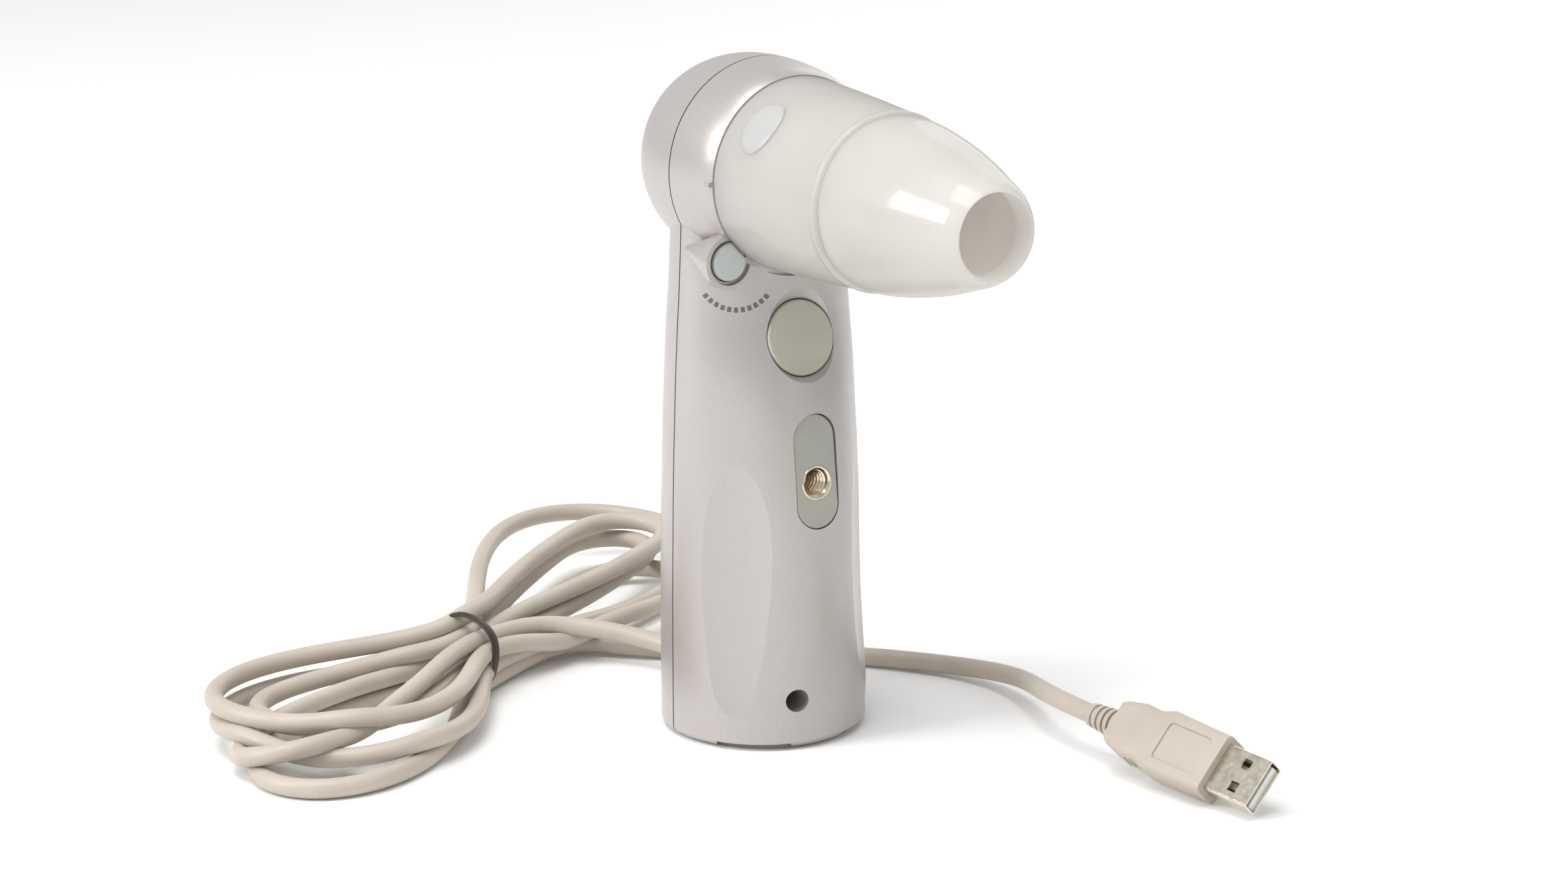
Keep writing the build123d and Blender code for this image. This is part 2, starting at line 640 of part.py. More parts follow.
def make_socket_screws():
    return [
        socket_screw_rod(turn, -2.7, -1.6, 1.5) + socket_screw_rod(turn, -12.4, -2.7, 0.76)
        for turn in SOCKET_SCREW_TURN]


def make_light_board():
    return lens_ring(-8.2, -7.0, 8.85, 15.3)


def make_leds():
    leds = []
    for i in range(LED_COUNT):
        turn = 360 * (i + 0.5) / LED_COUNT
        led = block((-1.4, -9.3, AXIS_HEIGHT + 11.0), (1.4, -8.2, AXIS_HEIGHT + 14.4))
        leds.append(led.rotate(LENS_AXIS, turn))
    return leds


def make_sensor_board():
    board = block((-13, 3.4, AXIS_HEIGHT - 13), (13, 5.0, AXIS_HEIGHT + 13))
    board = chamfer(board.edges().filter_by(Axis.Y), 2.5)
    for x in (-10, 10):
        for z in (-10, 10):
            board -= rod((x, 3, AXIS_HEIGHT + z), (x, 6, AXIS_HEIGHT + z), 0.9)
    return board


def make_sensor_screws():
    screws = []
    for x in (-10, 10):
        for z in (-10, 10):
            spot = AXIS_HEIGHT + z
            head = rod((x, 5.0, spot), (x, 6.1, spot), 1.7)
            screws.append(head + rod((x, -0.8, spot), (x, 5.0, spot), 0.76))
    return screws


def make_image_sensor():
    package = block((-6, 1.8, AXIS_HEIGHT - 6), (6, 3.4, AXIS_HEIGHT + 6))
    return chamfer(package.edges().filter_by(Axis.Y), 0.5)


def make_sensor_glass():
    return block((-4.1, 1.3, AXIS_HEIGHT - 4.1), (4.1, 1.8, AXIS_HEIGHT + 4.1))


def make_sensor_connector():
    return block((-7, 5.0, AXIS_HEIGHT - 12.5), (7, 6.4, AXIS_HEIGHT - 9.2))


# ---------------------------------------------------------------- main board
BOARD_FRONT_Y = 6.0
BOARD_REAR_Y = 7.6
BOARD_POST_AT = [(-11, 26), (11, 26), (-11, 92), (11, 92)]


def make_main_board():
    board = block((-14, BOARD_FRONT_Y, 20), (14, BOARD_REAR_Y, 98))
    board = chamfer(board.edges().filter_by(Axis.Y), 1.5)
    for x, z in BOARD_POST_AT:
        board -= rod((x, 5, z), (x, 8, z), 1.1)
    return board


def board_posts(shell, outer):
    """Posts inside the rear shell that carry the main board."""
    for x, z in BOARD_POST_AT:
        shell += rod((x, BOARD_REAR_Y, z), (x, 22, z), 2.3) & outer
        shell -= rod((x, BOARD_REAR_Y - 1, z), (x, BOARD_REAR_Y + 6, z), 0.85)
    return shell


def make_board_screws():
    return [
        rod((x, BOARD_FRONT_Y - 1.3, z), (x, BOARD_FRONT_Y, z), 2.0)
        + rod((x, BOARD_FRONT_Y, z), (x, BOARD_REAR_Y + 5, z), 0.8)
        for x, z in BOARD_POST_AT]


def on_board(x, z, width, height, thick):
    """Component on the front face of the main board."""
    return block((x - width / 2, BOARD_FRONT_Y - thick, z - height / 2),
                 (x + width / 2, BOARD_FRONT_Y, z + height / 2))


def make_controller_chip():
    chip = on_board(0, 66, 12, 12, 1.4)
    return chamfer(chip.edges().filter_by(Axis.Y), 0.6)


def make_board_parts():
    """Crystal, memory chip, regulator, inductor and rows of small capacitors."""
    parts = [
        on_board(-8, 79, 4, 9, 2.6), on_board(7, 80, 6, 5, 1.2), on_board(8, 48, 6.5, 3.5, 1.6),
        on_board(-8, 47, 5, 5, 2.4),
    ]
    for i in range(5):
        parts.append(on_board(-9.5, 58 + 3.2 * i, 1.6, 2.0, 0.9))
        parts.append(on_board(9.5, 58 + 3.2 * i, 1.6, 2.0, 0.9))
    return parts


def make_board_connector():
    return on_board(0, 95, 16, 4, 1.5)


def make_cable_connector():
    return on_board(0, 24, 11, 5.5, 4.4)


def make_ribbon():
    """Flat cable from the sensor board to the main board."""
    return block((-6, 5.2, 97), (6, 5.5, AXIS_HEIGHT - 12.5))


# ---------------------------------------------------------------- lead inside the foot
def make_cable_gland():
    """Grommet that the lead leaves through."""
    body = rod((0, 19.4, CORD_HEIGHT), (0, GLAND_FACE_Y, CORD_HEIGHT), 3.15)
    flange = rod((0, 22.85, CORD_HEIGHT), (0, GLAND_FACE_Y, CORD_HEIGHT), 4.1)
    inner = rod((0, 18.6, CORD_HEIGHT), (0, 20.0, CORD_HEIGHT), 4.0)
    bore = rod((0, 15, CORD_HEIGHT), (0, 30, CORD_HEIGHT), CORD_D / 2)
    gland = body + flange + inner - bore
    return fillet(gland.edges().filter_by(GeomType.CIRCLE).sort_by(Axis.Y)[-1], 0.5)


def make_inner_cable():
    return rod((0, 10.5, CORD_HEIGHT), (0, GLAND_FACE_Y, CORD_HEIGHT), CORD_D / 2)


def make_cable_clamp():
    top = CORD_HEIGHT + 2.3
    bar = block((-7.6, 13.0, top), (7.6, 18.0, top + 2.0))
    for x in (-5.4, 5.4):
        bar -= rod((x, 15.5, top - 1), (x, 15.5, top + 3), 1.0)
    return bar


def make_clamp_screws():
    top = CORD_HEIGHT + 4.3
    return [
        rod((x, 15.5, top), (x, 15.5, top + 1.3), 1.9) + rod((x, 15.5, top - 5.4), (x, 15.5, top), 0.8)
        for x in (-5.4, 5.4)]


def make_cable_wires():
    """Four cores between the cut-back cable and the connector."""
    wires = []
    for i in range(4):
        x = -3.3 + 2.2 * i
        near = (0.55 * (2 * i - 3), 10.3, CORD_HEIGHT)
        path = FilletPolyline(near, (x, 3.8, CORD_HEIGHT + 0.3), (x, 3.8, 21.2), radius=2.2)
        wires.append(sweep(Plane(origin=path @ 0, z_dir=path % 0) * Circle(0.5), path=path))
    return wires


# ---------------------------------------------------------------- free lead
def hank_plane(along=0, height=0):
    """Plane across the hank at a distance from its tie, looking along the hank."""
    turn = radians(HANK_TURN)
    x = HANK_AT[0] + along * cos(turn)
    y = HANK_AT[1] + along * sin(turn)
    return Plane(origin=(x, y, height), x_dir=(-sin(turn), cos(turn), 0), z_dir=(cos(turn), sin(turn), 0))


def make_cable_hank():
    """Outer shape of the tied turns: two flat lobes and the bundle through the tie."""
    floor = Plane(origin=(*HANK_AT, 0.2), x_dir=hank_plane().z_dir, z_dir=(0, 0, 1))
    left = extrude(floor * Pos(-39, 7) * Ellipse(42.5, 30), 13.5)
    right = extrude(floor * Pos(58, 6.5) * Ellipse(56, 31), 15)
    bundle = extrude(hank_plane(-9, BUNDLE_HEIGHT) * Ellipse(*BUNDLE_SEMI), 18)
    return left + right + bundle


def make_cable_tie():
    """Band round the bundle with the small knot of its ends on top."""
    plane = hank_plane(-TIE_WIDTH / 2, BUNDLE_HEIGHT)
    outside = Ellipse(BUNDLE_SEMI[0] + TIE_THICK, BUNDLE_SEMI[1] + TIE_THICK)
    band = extrude(plane * (outside - Ellipse(*BUNDLE_SEMI)), TIE_WIDTH)
    top = BUNDLE_HEIGHT + BUNDLE_SEMI[1] + TIE_THICK
    knot = extrude(hank_plane(-2.2, top + 0.5) * Pos(2, 0) * RectangleRounded(5.2, 2.2, 0.8), 4.4)
    return band + knot


def tie_groove(hank):
    """Make room in the lobes for the tie band."""
    plane = hank_plane(-TIE_WIDTH / 2, BUNDLE_HEIGHT)
    return hank - extrude(plane * (Rectangle(90, 24) - Ellipse(*BUNDLE_SEMI)), TIE_WIDTH)


def cord_tube(points):
    """Round tube along straight runs joined by arcs as large as the runs allow."""
    points = [Vector(*p) for p in points]
    radii = []
    for before, corner, after in zip(points, points[1:], points[2:]):
        run_in, run_out = corner - before, after - corner
        turn = radians(run_in.get_angle(run_out))
        radii.append(0.45 * min(run_in.length, run_out.length) / tan(turn / 2))
    print("cord bends, mm:", [round(r) for r in radii])
    path = FilletPolyline(*points, radius=radii)
    tube = sweep(Plane(origin=path @ 0, z_dir=path % 0) * Circle(CORD_D / 2), path=path)
    print("cord length", round(path.length, 1), "volume ratio",
          round(tube.volume / (path.length * pi * CORD_D ** 2 / 4), 4))
    return tube


def plug_plane(along=0, across=0, lift=0):
    """Plane of the plug's broad face: X along the plug to its shell, Z out of the face."""
    heading, drop, roll = radians(PLUG_HEADING), radians(PLUG_DROP), radians(PLUG_ROLL)
    axis = Vector(sin(heading) * cos(drop), -cos(heading) * cos(drop), -sin(drop))
    side = axis.cross(Vector(0, 0, 1)).normalized()
    up = side.cross(axis)
    normal = up * cos(roll) + side * sin(roll)
    plane = Plane(origin=PLUG_AT, x_dir=axis, z_dir=normal)
    origin = Vector(*PLUG_AT) + axis * along + plane.y_dir * across + normal * lift
    return Plane(origin=origin, x_dir=axis, z_dir=normal)


def plug_section(along):
    """Plane across the plug."""
    plane = plug_plane(along)
    return Plane(origin=plane.origin, x_dir=plane.y_dir, z_dir=plane.x_dir)


def relief_end():
    return plug_plane(-PLUG_BODY[0] - RELIEF_LENGTH).origin


def make_cable_lead(hank):
    return keep_largest(cord_tube(LEAD_ROUTE) - hank)


def make_cable_plug_run(hank):
    end = relief_end()
    near = plug_plane(-PLUG_BODY[0] - RELIEF_LENGTH - RELIEF_STRAIGHT).origin
    route = PLUG_ROUTE + [tuple(near), tuple(end)]
    return keep_largest(cord_tube(route) - hank)


def keep_largest(shape):
    return shape.solids().sort_by(SortBy.VOLUME)[-1]


def make_plug_relief():
    """Tapered, ribbed sleeve behind the plug."""
    start = -PLUG_BODY[0] - RELIEF_LENGTH
    sleeve = loft([
        plug_section(start) * Circle(CORD_D / 2 + 0.5),
        plug_section(-PLUG_BODY[0]) * Circle(CORD_D / 2 + 1.3)])
    for i in range(4):
        groove = plug_section(start + 1.4 + 1.9 * i) * (Circle(5) - Circle(CORD_D / 2 + 0.25))
        sleeve -= extrude(groove, 0.8)
    return sleeve


def make_plug_body():
    length, width, thick = PLUG_BODY
    outline = [
        (0, 0), (0, width / 2 - 0.4), (-17, width / 2), (-20.5, width / 2 - 1.3),
        (-25, width / 2 - 1.0), (-29.5, width / 2 - 2.0), (-length, width / 2 - 3.4), (-length, 0)]
    half = Polyline(*outline)
    other = Polyline(*[(x, -y) for x, y in reversed(outline)])
    face = make_face([half, other])
    body = extrude(plug_plane(lift=-thick / 2) * face, thick)
    along = plug_plane().x_dir
    long_edges = body.edges().filter_by(lambda e: abs((e % 0.5).dot(along)) > 0.9)
    body = fillet(long_edges, 1.6)
    # sunk panel on both broad faces and ribs on the narrow ones
    for side in (-1, 1):
        depth = 0.35
        low = thick / 2 - depth if side > 0 else -thick / 2
        panel = plug_plane(lift=low) * Pos(-9.5, 0) * RectangleRounded(13, 9.4, 1.2)
        body -= extrude(panel, depth)
        for i in range(4):
            rib = plug_plane(lift=-2) * Pos(-22.4 - 1.5 * i, side * width / 2) * Rectangle(0.6, 5)
            body -= extrude(rib, 4)
    return body


def make_plug_shell():
    length, width, thick = PLUG_SHELL
    outer = extrude(plug_section(0) * RectangleRounded(width, thick, 0.6), length)
    inner = extrude(plug_section(0) * RectangleRounded(width - 0.7, thick - 0.7, 0.3), length)
    shell = outer - inner
    for across in (-2.9, 2.9):
        window = plug_plane(lift=-4) * Pos(7.0, across) * Rectangle(2.4, 2.4)
        shell -= extrude(window, 8)
    return shell


def make_plug_tongue():
    length, width, thick = PLUG_SHELL
    plane = plug_plane(lift=-thick / 2 + 0.35)
    return extrude(plane * Pos((length - 0.8) / 2, 0) * Rectangle(length - 0.8, width - 1.6), 1.85)


def make_plug_contacts():
    """Four flat contacts on the tongue."""
    lift = -PLUG_SHELL[2] / 2 + 2.2
    return [
        extrude(plug_plane(lift=lift) * Pos(6.6, across) * Rectangle(8.0, 1.0), 0.15)
        for across in (-3.5, -1.0, 1.0, 3.5)]


# ---------------------------------------------------------------- write every sub-part
def build():
    hank = tie_groove(make_cable_hank())
    return {
        "front_shell": make_front_shell(),
        "rear_shell": make_rear_shell(),
        "shell_screws": make_shell_screws(),
        "foot_plate": make_foot_plate(),
        "foot_screws": make_foot_screws(),
        "shutter_button": make_shutter_button(),
        "shutter_dome": make_shutter_dome(),
        "shutter_switch": make_shutter_switch(),
        "switch_board": make_switch_board(),
        "switch_screws": make_switch_screws(),
        "tripod_plate": make_tripod_plate(),
        "tripod_insert": make_tripod_insert(),
        "release_button": make_release_button(),
        "release_latch": make_release_latch(),
        "release_spring": make_release_spring(),
        "lens_collar": make_lens_collar(),
        "lens_nose": make_lens_nose(),
        "lens_badge": make_lens_badge(),
        "lens_barrel": make_lens_barrel(),
        "front_lens": make_front_lens(),
        "rear_lens": make_rear_lens(),
        "lens_retainer": make_lens_retainer(),
        "lens_socket": make_lens_socket(),
        "optic_mount": make_optic_mount(),
        "socket_screws": make_socket_screws(),
        "light_board": make_light_board(),
        "leds": make_leds(),
        "sensor_board": make_sensor_board(),
        "sensor_screws": make_sensor_screws(),
        "image_sensor": make_image_sensor(),
        "sensor_glass": make_sensor_glass(),
        "sensor_connector": make_sensor_connector(),
        "ribbon_cable": make_ribbon(),
        "main_board": make_main_board(),
        "board_screws": make_board_screws(),
        "controller_chip": make_controller_chip(),
        "board_parts": make_board_parts(),
        "board_connector": make_board_connector(),
        "cable_connector": make_cable_connector(),
        "cable_gland": make_cable_gland(),
        "inner_cable": make_inner_cable(),
        "cable_wires": make_cable_wires(),
        "cable_clamp": make_cable_clamp(),
        "clamp_screws": make_clamp_screws(),
        "cable_lead": make_cable_lead(hank),
        "cable_hank": hank,
        "cable_tie": make_cable_tie(),
        "cable_plug_run": make_cable_plug_run(hank),
        "plug_relief": make_plug_relief(),
        "plug_body": make_plug_body(),
        "plug_shell": make_plug_shell(),
        "plug_tongue": make_plug_tongue(),
        "plug_contacts": make_plug_contacts(),
    }


os.makedirs("parts", exist_ok=True)
for name, shape in build().items():
    if isinstance(shape, list):
        shape = Compound(children=shape)
    export_step(shape, f"parts/{name}.step")
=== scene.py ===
import json
from math import cos, pi, radians, sin, sqrt

import bmesh
import bpy
import numpy as np
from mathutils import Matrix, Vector


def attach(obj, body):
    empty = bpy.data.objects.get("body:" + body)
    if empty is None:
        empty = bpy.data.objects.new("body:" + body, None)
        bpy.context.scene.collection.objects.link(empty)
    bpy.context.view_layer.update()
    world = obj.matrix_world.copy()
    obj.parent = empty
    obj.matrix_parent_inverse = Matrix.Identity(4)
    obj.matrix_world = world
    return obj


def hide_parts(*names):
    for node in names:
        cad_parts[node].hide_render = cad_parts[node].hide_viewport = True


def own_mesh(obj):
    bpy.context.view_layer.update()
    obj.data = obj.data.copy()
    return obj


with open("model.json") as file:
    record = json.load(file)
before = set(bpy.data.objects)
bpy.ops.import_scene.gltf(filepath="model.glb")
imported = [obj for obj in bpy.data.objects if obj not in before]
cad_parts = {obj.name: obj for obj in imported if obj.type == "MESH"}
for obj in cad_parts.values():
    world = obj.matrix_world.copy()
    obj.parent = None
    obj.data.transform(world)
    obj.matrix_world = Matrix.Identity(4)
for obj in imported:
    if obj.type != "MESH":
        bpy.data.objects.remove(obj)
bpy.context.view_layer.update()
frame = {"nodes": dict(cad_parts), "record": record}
NODES = frame["nodes"]
MM = 0.001

# ---------------------------------------------------------------- sizes shared with the CAD, in mm
AXIS_HEIGHT = 133.2
CORD_D = 4.5
GLAND_FACE_Y = 24.2
CORD_HEIGHT = 6.5
HANK_AT = np.array([-50.0, 55.0])
HANK_TURN = radians(29.5)
HANK_ALONG = np.array([cos(HANK_TURN), sin(HANK_TURN)])
HANK_ACROSS = np.array([-sin(HANK_TURN), cos(HANK_TURN)])
LEAD_ROUTE = [
    (0, GLAND_FACE_Y, CORD_HEIGHT), (0, 34, 6.6), (-4.5, 45, 7.4), (-13, 56, 8.8), (-26, 63, 10.5)]
PLUG_ROUTE = [
    (-16, 68, 3), (-1, 51, 2.6), (18, 37.5, 2.4), (41, 18, 2.4), (57, -4, 2.8), (58, -24, 5.8)]
PLUG_AT = Vector((54.2, -102.3, 7.8))
PLUG_HEADING = radians(7.5)
PLUG_DROP = radians(3)
PLUG_BODY_LENGTH = 31
RELIEF_LENGTH = 9
RELIEF_STRAIGHT = 14


# ---------------------------------------------------------------- materials
class Paint:
    """A material and short ways to add nodes to it."""

    def __init__(self, name):
        self.material = bpy.data.materials.new(name)
        self.material.use_nodes = True
        self.tree = self.material.node_tree
        self.shader = self.tree.nodes["Principled BSDF"]
        self.place = self.tree.nodes.new("ShaderNodeTexCoord").outputs["Object"]

    def set(self, **values):
        """Set the shader's own sockets, such as Coat_Weight=0.3."""
        for name, value in values.items():
            self.shader.inputs[name.replace("_", " ")].default_value = value
        return self

    def link(self, source, target):
        self.tree.links.new(source, target)

    def noise(self, scale, detail=3.0):
        node = self.tree.nodes.new("ShaderNodeTexNoise")
        node.inputs["Scale"].default_value = scale
        node.inputs["Detail"].default_value = detail
        self.link(self.place, node.inputs["Vector"])
        return node.outputs["Fac"]

    def ramp(self, source, low, high, start=0.35, end=0.65):
        """Colours from low to high as the source goes from start to end."""
        node = self.tree.nodes.new("ShaderNodeValToRGB")
        node.color_ramp.elements[0].position = start
        node.color_ramp.elements[1].position = end
        node.color_ramp.elements[0].color = (*low, 1)
        node.color_ramp.elements[1].color = (*high, 1)
        self.link(source, node.inputs["Fac"])
        return node.outputs["Color"]

    def vary_color(self, source, low, high):
        self.link(self.ramp(source, low, high), self.shader.inputs["Base Color"])
        return self

    def vary_roughness(self, source, low, high):
        """Roughness from low to high over the middle of the noise."""
        node = self.tree.nodes.new("ShaderNodeMapRange")
        node.inputs["From Min"].default_value = 0.3
        node.inputs["From Max"].default_value = 0.7
        node.inputs["To Min"].default_value = low
        node.inputs["To Max"].default_value = high
        self.link(source, node.inputs["Value"])
        self.link(node.outputs["Result"], self.shader.inputs["Roughness"])
        return self

    def math(self, operation, *values):
        """A Math node on numbers and sockets."""
        node = self.tree.nodes.new("ShaderNodeMath")
        node.operation = operation
        for socket, value in zip(node.inputs, values):
            if isinstance(value, (int, float)):
                socket.default_value = value
            else:
                self.link(value, socket)
        return node.outputs["Value"]

    def axes(self):
        """The three coordinates of the shaded point, in metres."""
        node = self.tree.nodes.new("ShaderNodeSeparateXYZ")
        self.link(self.place, node.inputs["Vector"])
        return node.outputs["X"], node.outputs["Y"], node.outputs["Z"]

    def mark(self, base, mask, color):
        """The base colour with another colour where the mask is 1."""
        node = self.tree.nodes.new("ShaderNodeMixRGB")
        self.link(mask, node.inputs["Fac"])
        self.link(base, node.inputs["Color1"])
        node.inputs["Color2"].default_value = (*color, 1)
        return node.outputs["Color"]

    def bump(self, source, distance, strength):
        node = self.tree.nodes.new("ShaderNodeBump")
        node.inputs["Distance"].default_value = distance
        node.inputs["Strength"].default_value = strength
        self.link(source, node.inputs["Height"])
        self.link(node.outputs["Normal"], self.shader.inputs["Normal"])
        return self


SPLIT_Y = 1.3                 # joint between the front and rear shell
JOINT_HALF_WIDTH = 0.13
PRINT_TURN = radians(33)      # the printed arc lies square to this direction of the left flank
PRINT_AT = (-6.3, 112.2)      # its centre across and up
PRINT_R = 9.2
PRINT_HALF_WIDTH = 0.6
PRINT_HALF_ANGLE = 0.89       # radians
PRINT_DASHES = 6.0            # dashes in a radian
PRINT_DASH_SHARE = 0.62       # of each step that is printed


def silver_shell():
    """Silver lacquer with a very fine flake, a dark joint line and a printed dashed arc."""
    paint = Paint("silver_shell").set(Metallic=0.5, Coat_Weight=0.15, Coat_Roughness=0.3)
    flake = paint.noise(5200, 1)
    lacquer = paint.ramp(flake, (0.42, 0.392, 0.376), (0.50, 0.468, 0.45), 0.3, 0.7)
    x, y, z = paint.axes()
    joint = paint.math("COMPARE", y, SPLIT_Y * MM, JOINT_HALF_WIDTH * MM)
    lacquer = paint.mark(lacquer, joint, (0.06, 0.055, 0.055))
    from_x = paint.math("MULTIPLY", x, cos(PRINT_TURN))
    from_y = paint.math("MULTIPLY", y, sin(PRINT_TURN))
    across = paint.math("SUBTRACT", paint.math("SUBTRACT", from_x, from_y), PRINT_AT[0] * MM)
    upwards = paint.math("SUBTRACT", z, PRINT_AT[1] * MM)
    squares = paint.math(
        "ADD", paint.math("MULTIPLY", across, across), paint.math("MULTIPLY", upwards, upwards))
    ring = paint.math("COMPARE", paint.math("SQRT", squares), PRINT_R * MM, PRINT_HALF_WIDTH * MM)
    turn = paint.math("ARCTAN2", across, paint.math("MULTIPLY", upwards, -1.0))
    sector = paint.math("COMPARE", turn, 0.0, PRINT_HALF_ANGLE)
    steps = paint.math("ADD", paint.math("MULTIPLY", turn, PRINT_DASHES), PRINT_DASH_SHARE / 2)
    dashes = paint.math("LESS_THAN", paint.math("FRACT", steps), PRINT_DASH_SHARE)
    front = paint.math("LESS_THAN", y, 0.0)
    arc = paint.math("MULTIPLY", ring, sector)
    printed = paint.math("MULTIPLY", arc, paint.math("MULTIPLY", dashes, front))
    paint.link(paint.mark(lacquer, printed, (0.14, 0.13, 0.13)), paint.shader.inputs["Base Color"])
    paint.vary_roughness(paint.noise(90), 0.34, 0.4)
    return paint.bump(flake, 0.00001, 0.2).material


TRANSLUCENT_SHARE = 0.6


def milky_plastic():
    """Milky translucent plastic: glossy skin, light passes through its walls."""
    paint = Paint("milky_plastic").set(
        Subsurface_Weight=0.3, Subsurface_Radius=(1.0, 0.9, 0.8), Subsurface_Scale=0.004,
        IOR=1.49, Coat_Weight=0.35, Coat_Roughness=0.06)
    cloud = paint.noise(28, 2)
    tint = paint.ramp(cloud, (0.80, 0.78, 0.75), (0.85, 0.83, 0.80))
    paint.link(tint, paint.shader.inputs["Base Color"])
    paint.vary_roughness(paint.noise(180), 0.12, 0.2)
    paint.bump(paint.noise(420, 1), 0.00002, 0.2)
    through = paint.tree.nodes.new("ShaderNodeBsdfTranslucent")
    paint.link(tint, through.inputs["Color"])
    mix = paint.tree.nodes.new("ShaderNodeMixShader")
    mix.inputs["Fac"].default_value = TRANSLUCENT_SHARE
    paint.link(paint.shader.outputs["BSDF"], mix.inputs[1])
    paint.link(through.outputs["BSDF"], mix.inputs[2])
    paint.link(mix.outputs["Shader"], paint.tree.nodes["Material Output"].inputs["Surface"])
    return paint.material


def moulded(name, low, high, roughness=(0.38, 0.48), **values):
    """Moulded plastic with a fine grain and a faint change of colour."""
    paint = Paint(name).set(**values)
    paint.vary_color(paint.noise(60), low, high)
    paint.vary_roughness(paint.noise(300), *roughness)
    return paint.bump(paint.noise(1500, 2), 0.00003, 0.3).material


def metal(name, low, high, roughness=(0.16, 0.28)):
    """Plated metal with faint scratches."""
    paint = Paint(name).set(Metallic=1.0)
    paint.vary_color(paint.noise(400), low, high)
    scratches = paint.noise(900, 4)
    paint.vary_roughness(scratches, *roughness)
    return paint.bump(scratches, 0.00001, 0.25).material


def optic_glass():
    """Clear glass with a faint blue coating."""
    paint = Paint("optic_glass").set(Transmission_Weight=1.0, IOR=1.52, Coat_Weight=0.5)
    paint.vary_color(paint.noise(30), (0.90, 0.95, 0.97), (0.95, 0.97, 0.99))
    return paint.vary_roughness(paint.noise(500), 0.01, 0.03).material


def cable_jacket():
    """Beige PVC: waxy, slightly dusty, with faint extrusion unevenness."""
    paint = Paint("cable_beige").set(
        Subsurface_Weight=0.12, Subsurface_Radius=(1.0, 0.8, 0.6), Subsurface_Scale=0.0015,
        Specular_IOR_Level=0.45)
    paint.vary_color(paint.noise(45, 4), (0.46, 0.405, 0.345), (0.525, 0.465, 0.40))
    paint.vary_roughness(paint.noise(260), 0.36, 0.5)
    return paint.bump(paint.noise(700, 2), 0.00005, 0.25).material


def make_materials():
    return {
        "silver_shell": silver_shell(),
        "milky_plastic": milky_plastic(),
        "badge_grey": moulded("badge_grey", (0.39, 0.39, 0.385), (0.43, 0.43, 0.425), (0.34, 0.42)),
        "button_grey": moulded("button_grey", (0.41, 0.405, 0.33), (0.465, 0.46, 0.38)),
        "release_blue": moulded(
            "release_blue", (0.44, 0.465, 0.455), (0.50, 0.525, 0.515), (0.2, 0.28), Coat_Weight=0.3),
        "plate_grey": moulded("plate_grey", (0.335, 0.335, 0.29), (0.385, 0.385, 0.335)),
        "nickel": metal("nickel", (0.66, 0.60, 0.50), (0.80, 0.75, 0.66)),
        "brass": metal("brass", (0.66, 0.57, 0.43), (0.80, 0.71, 0.56), (0.12, 0.2)),
        "steel": metal("steel", (0.55, 0.55, 0.56), (0.66, 0.66, 0.67), (0.25, 0.4)),
        "foot_rubber": moulded("foot_rubber", (0.25, 0.225, 0.215), (0.31, 0.28, 0.27), (0.6, 0.75)),
        "black_plastic": moulded("black_plastic", (0.018, 0.018, 0.02), (0.03, 0.03, 0.032)),
        "white_plastic": moulded("white_plastic", (0.78, 0.78, 0.74), (0.85, 0.85, 0.81)),
        "silicone": moulded("silicone", (0.66, 0.66, 0.62), (0.73, 0.73, 0.69), (0.5, 0.6)),
        "board_green": moulded("board_green", (0.02, 0.16, 0.06), (0.05, 0.24, 0.10), (0.25, 0.35)),
        "chip_black": moulded("chip_black", (0.012, 0.012, 0.012), (0.025, 0.025, 0.025)),
        "led_yellow": moulded("led_yellow", (0.85, 0.75, 0.32), (0.92, 0.84, 0.45), (0.15, 0.25)),
        "optic_glass": optic_glass(),
        "ribbon_white": moulded("ribbon_white", (0.76, 0.76, 0.74), (0.84, 0.84, 0.82)),
        "cable_beige": cable_jacket(),
        "tie_black": moulded("tie_black", (0.02, 0.014, 0.011), (0.045, 0.032, 0.026), (0.4, 0.55)),
        "gold": metal("gold", (0.80, 0.60, 0.25), (0.90, 0.72, 0.35), (0.15, 0.25)),
    }


def dress_nodes(materials):
    """Give each CAD node the material of its slot, held on the object."""
    for part in frame["record"]["subparts"]:
        node = NODES[part["node"]]
        for slot in node.material_slots:
            slot.link = "OBJECT"
            slot.material = materials[part["material_slot"]]


def shorten_spring():
    """Give the release's spring a mesh of its own; its length is left as it is."""
    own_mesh(NODES["release_spring"])


# ---------------------------------------------------------------- cord
# Each turn of the hank: how far it reaches, how far it stands to the side on its first and second
# run, and the height of its far end on each. Turns on the left and on the right alternate.
LOBES = [
    (-77, -3, 20, 11, 3),
    (104, -3, 20, 13, 14),
    (-66, 40, -7, 13, 9),
    (112, -18, 40, 4, 18),
    (-60, 29, -2, 9, 8),
    (103, 2, 24, 9, 8),
    (-68, 37, -17, 7, 5),
    (95, -12, 12, 6, 3),
    (-79, 17, -20, 2.4, 2.4),
]
# where the ten runs lie in the tie: to the side, and height
IN_TIE = [
    (-2.3, 14.9), (4.6, 10.9), (2.3, 14.9), (-4.6, 10.9), (0, 10.9),
    (0, 6.9), (4.6, 6.9), (-4.6, 6.9), (2.3, 2.9), (-2.3, 2.9)]
POINTS_PER_LOBE = 40
SETTLE_STEPS = 300
HANK_STEP = 5                # distance between the route's points
LIE_APART = 4.65             # strands are kept this far apart, just over the cord's diameter
ON_FLOOR = 2.3
NEIGHBOURS_SKIPPED = 4       # points this near along the cord don't push each other
# shares of each move in a settling step: back to the plan, towards an even bend, out of another
# strand, and out of too tight a bend
PULL_TO_PLAN = 0.02
SMOOTHING = 0.3
PUSH_APART_SHARE = 0.25
UNBEND_SHARE = 0.12
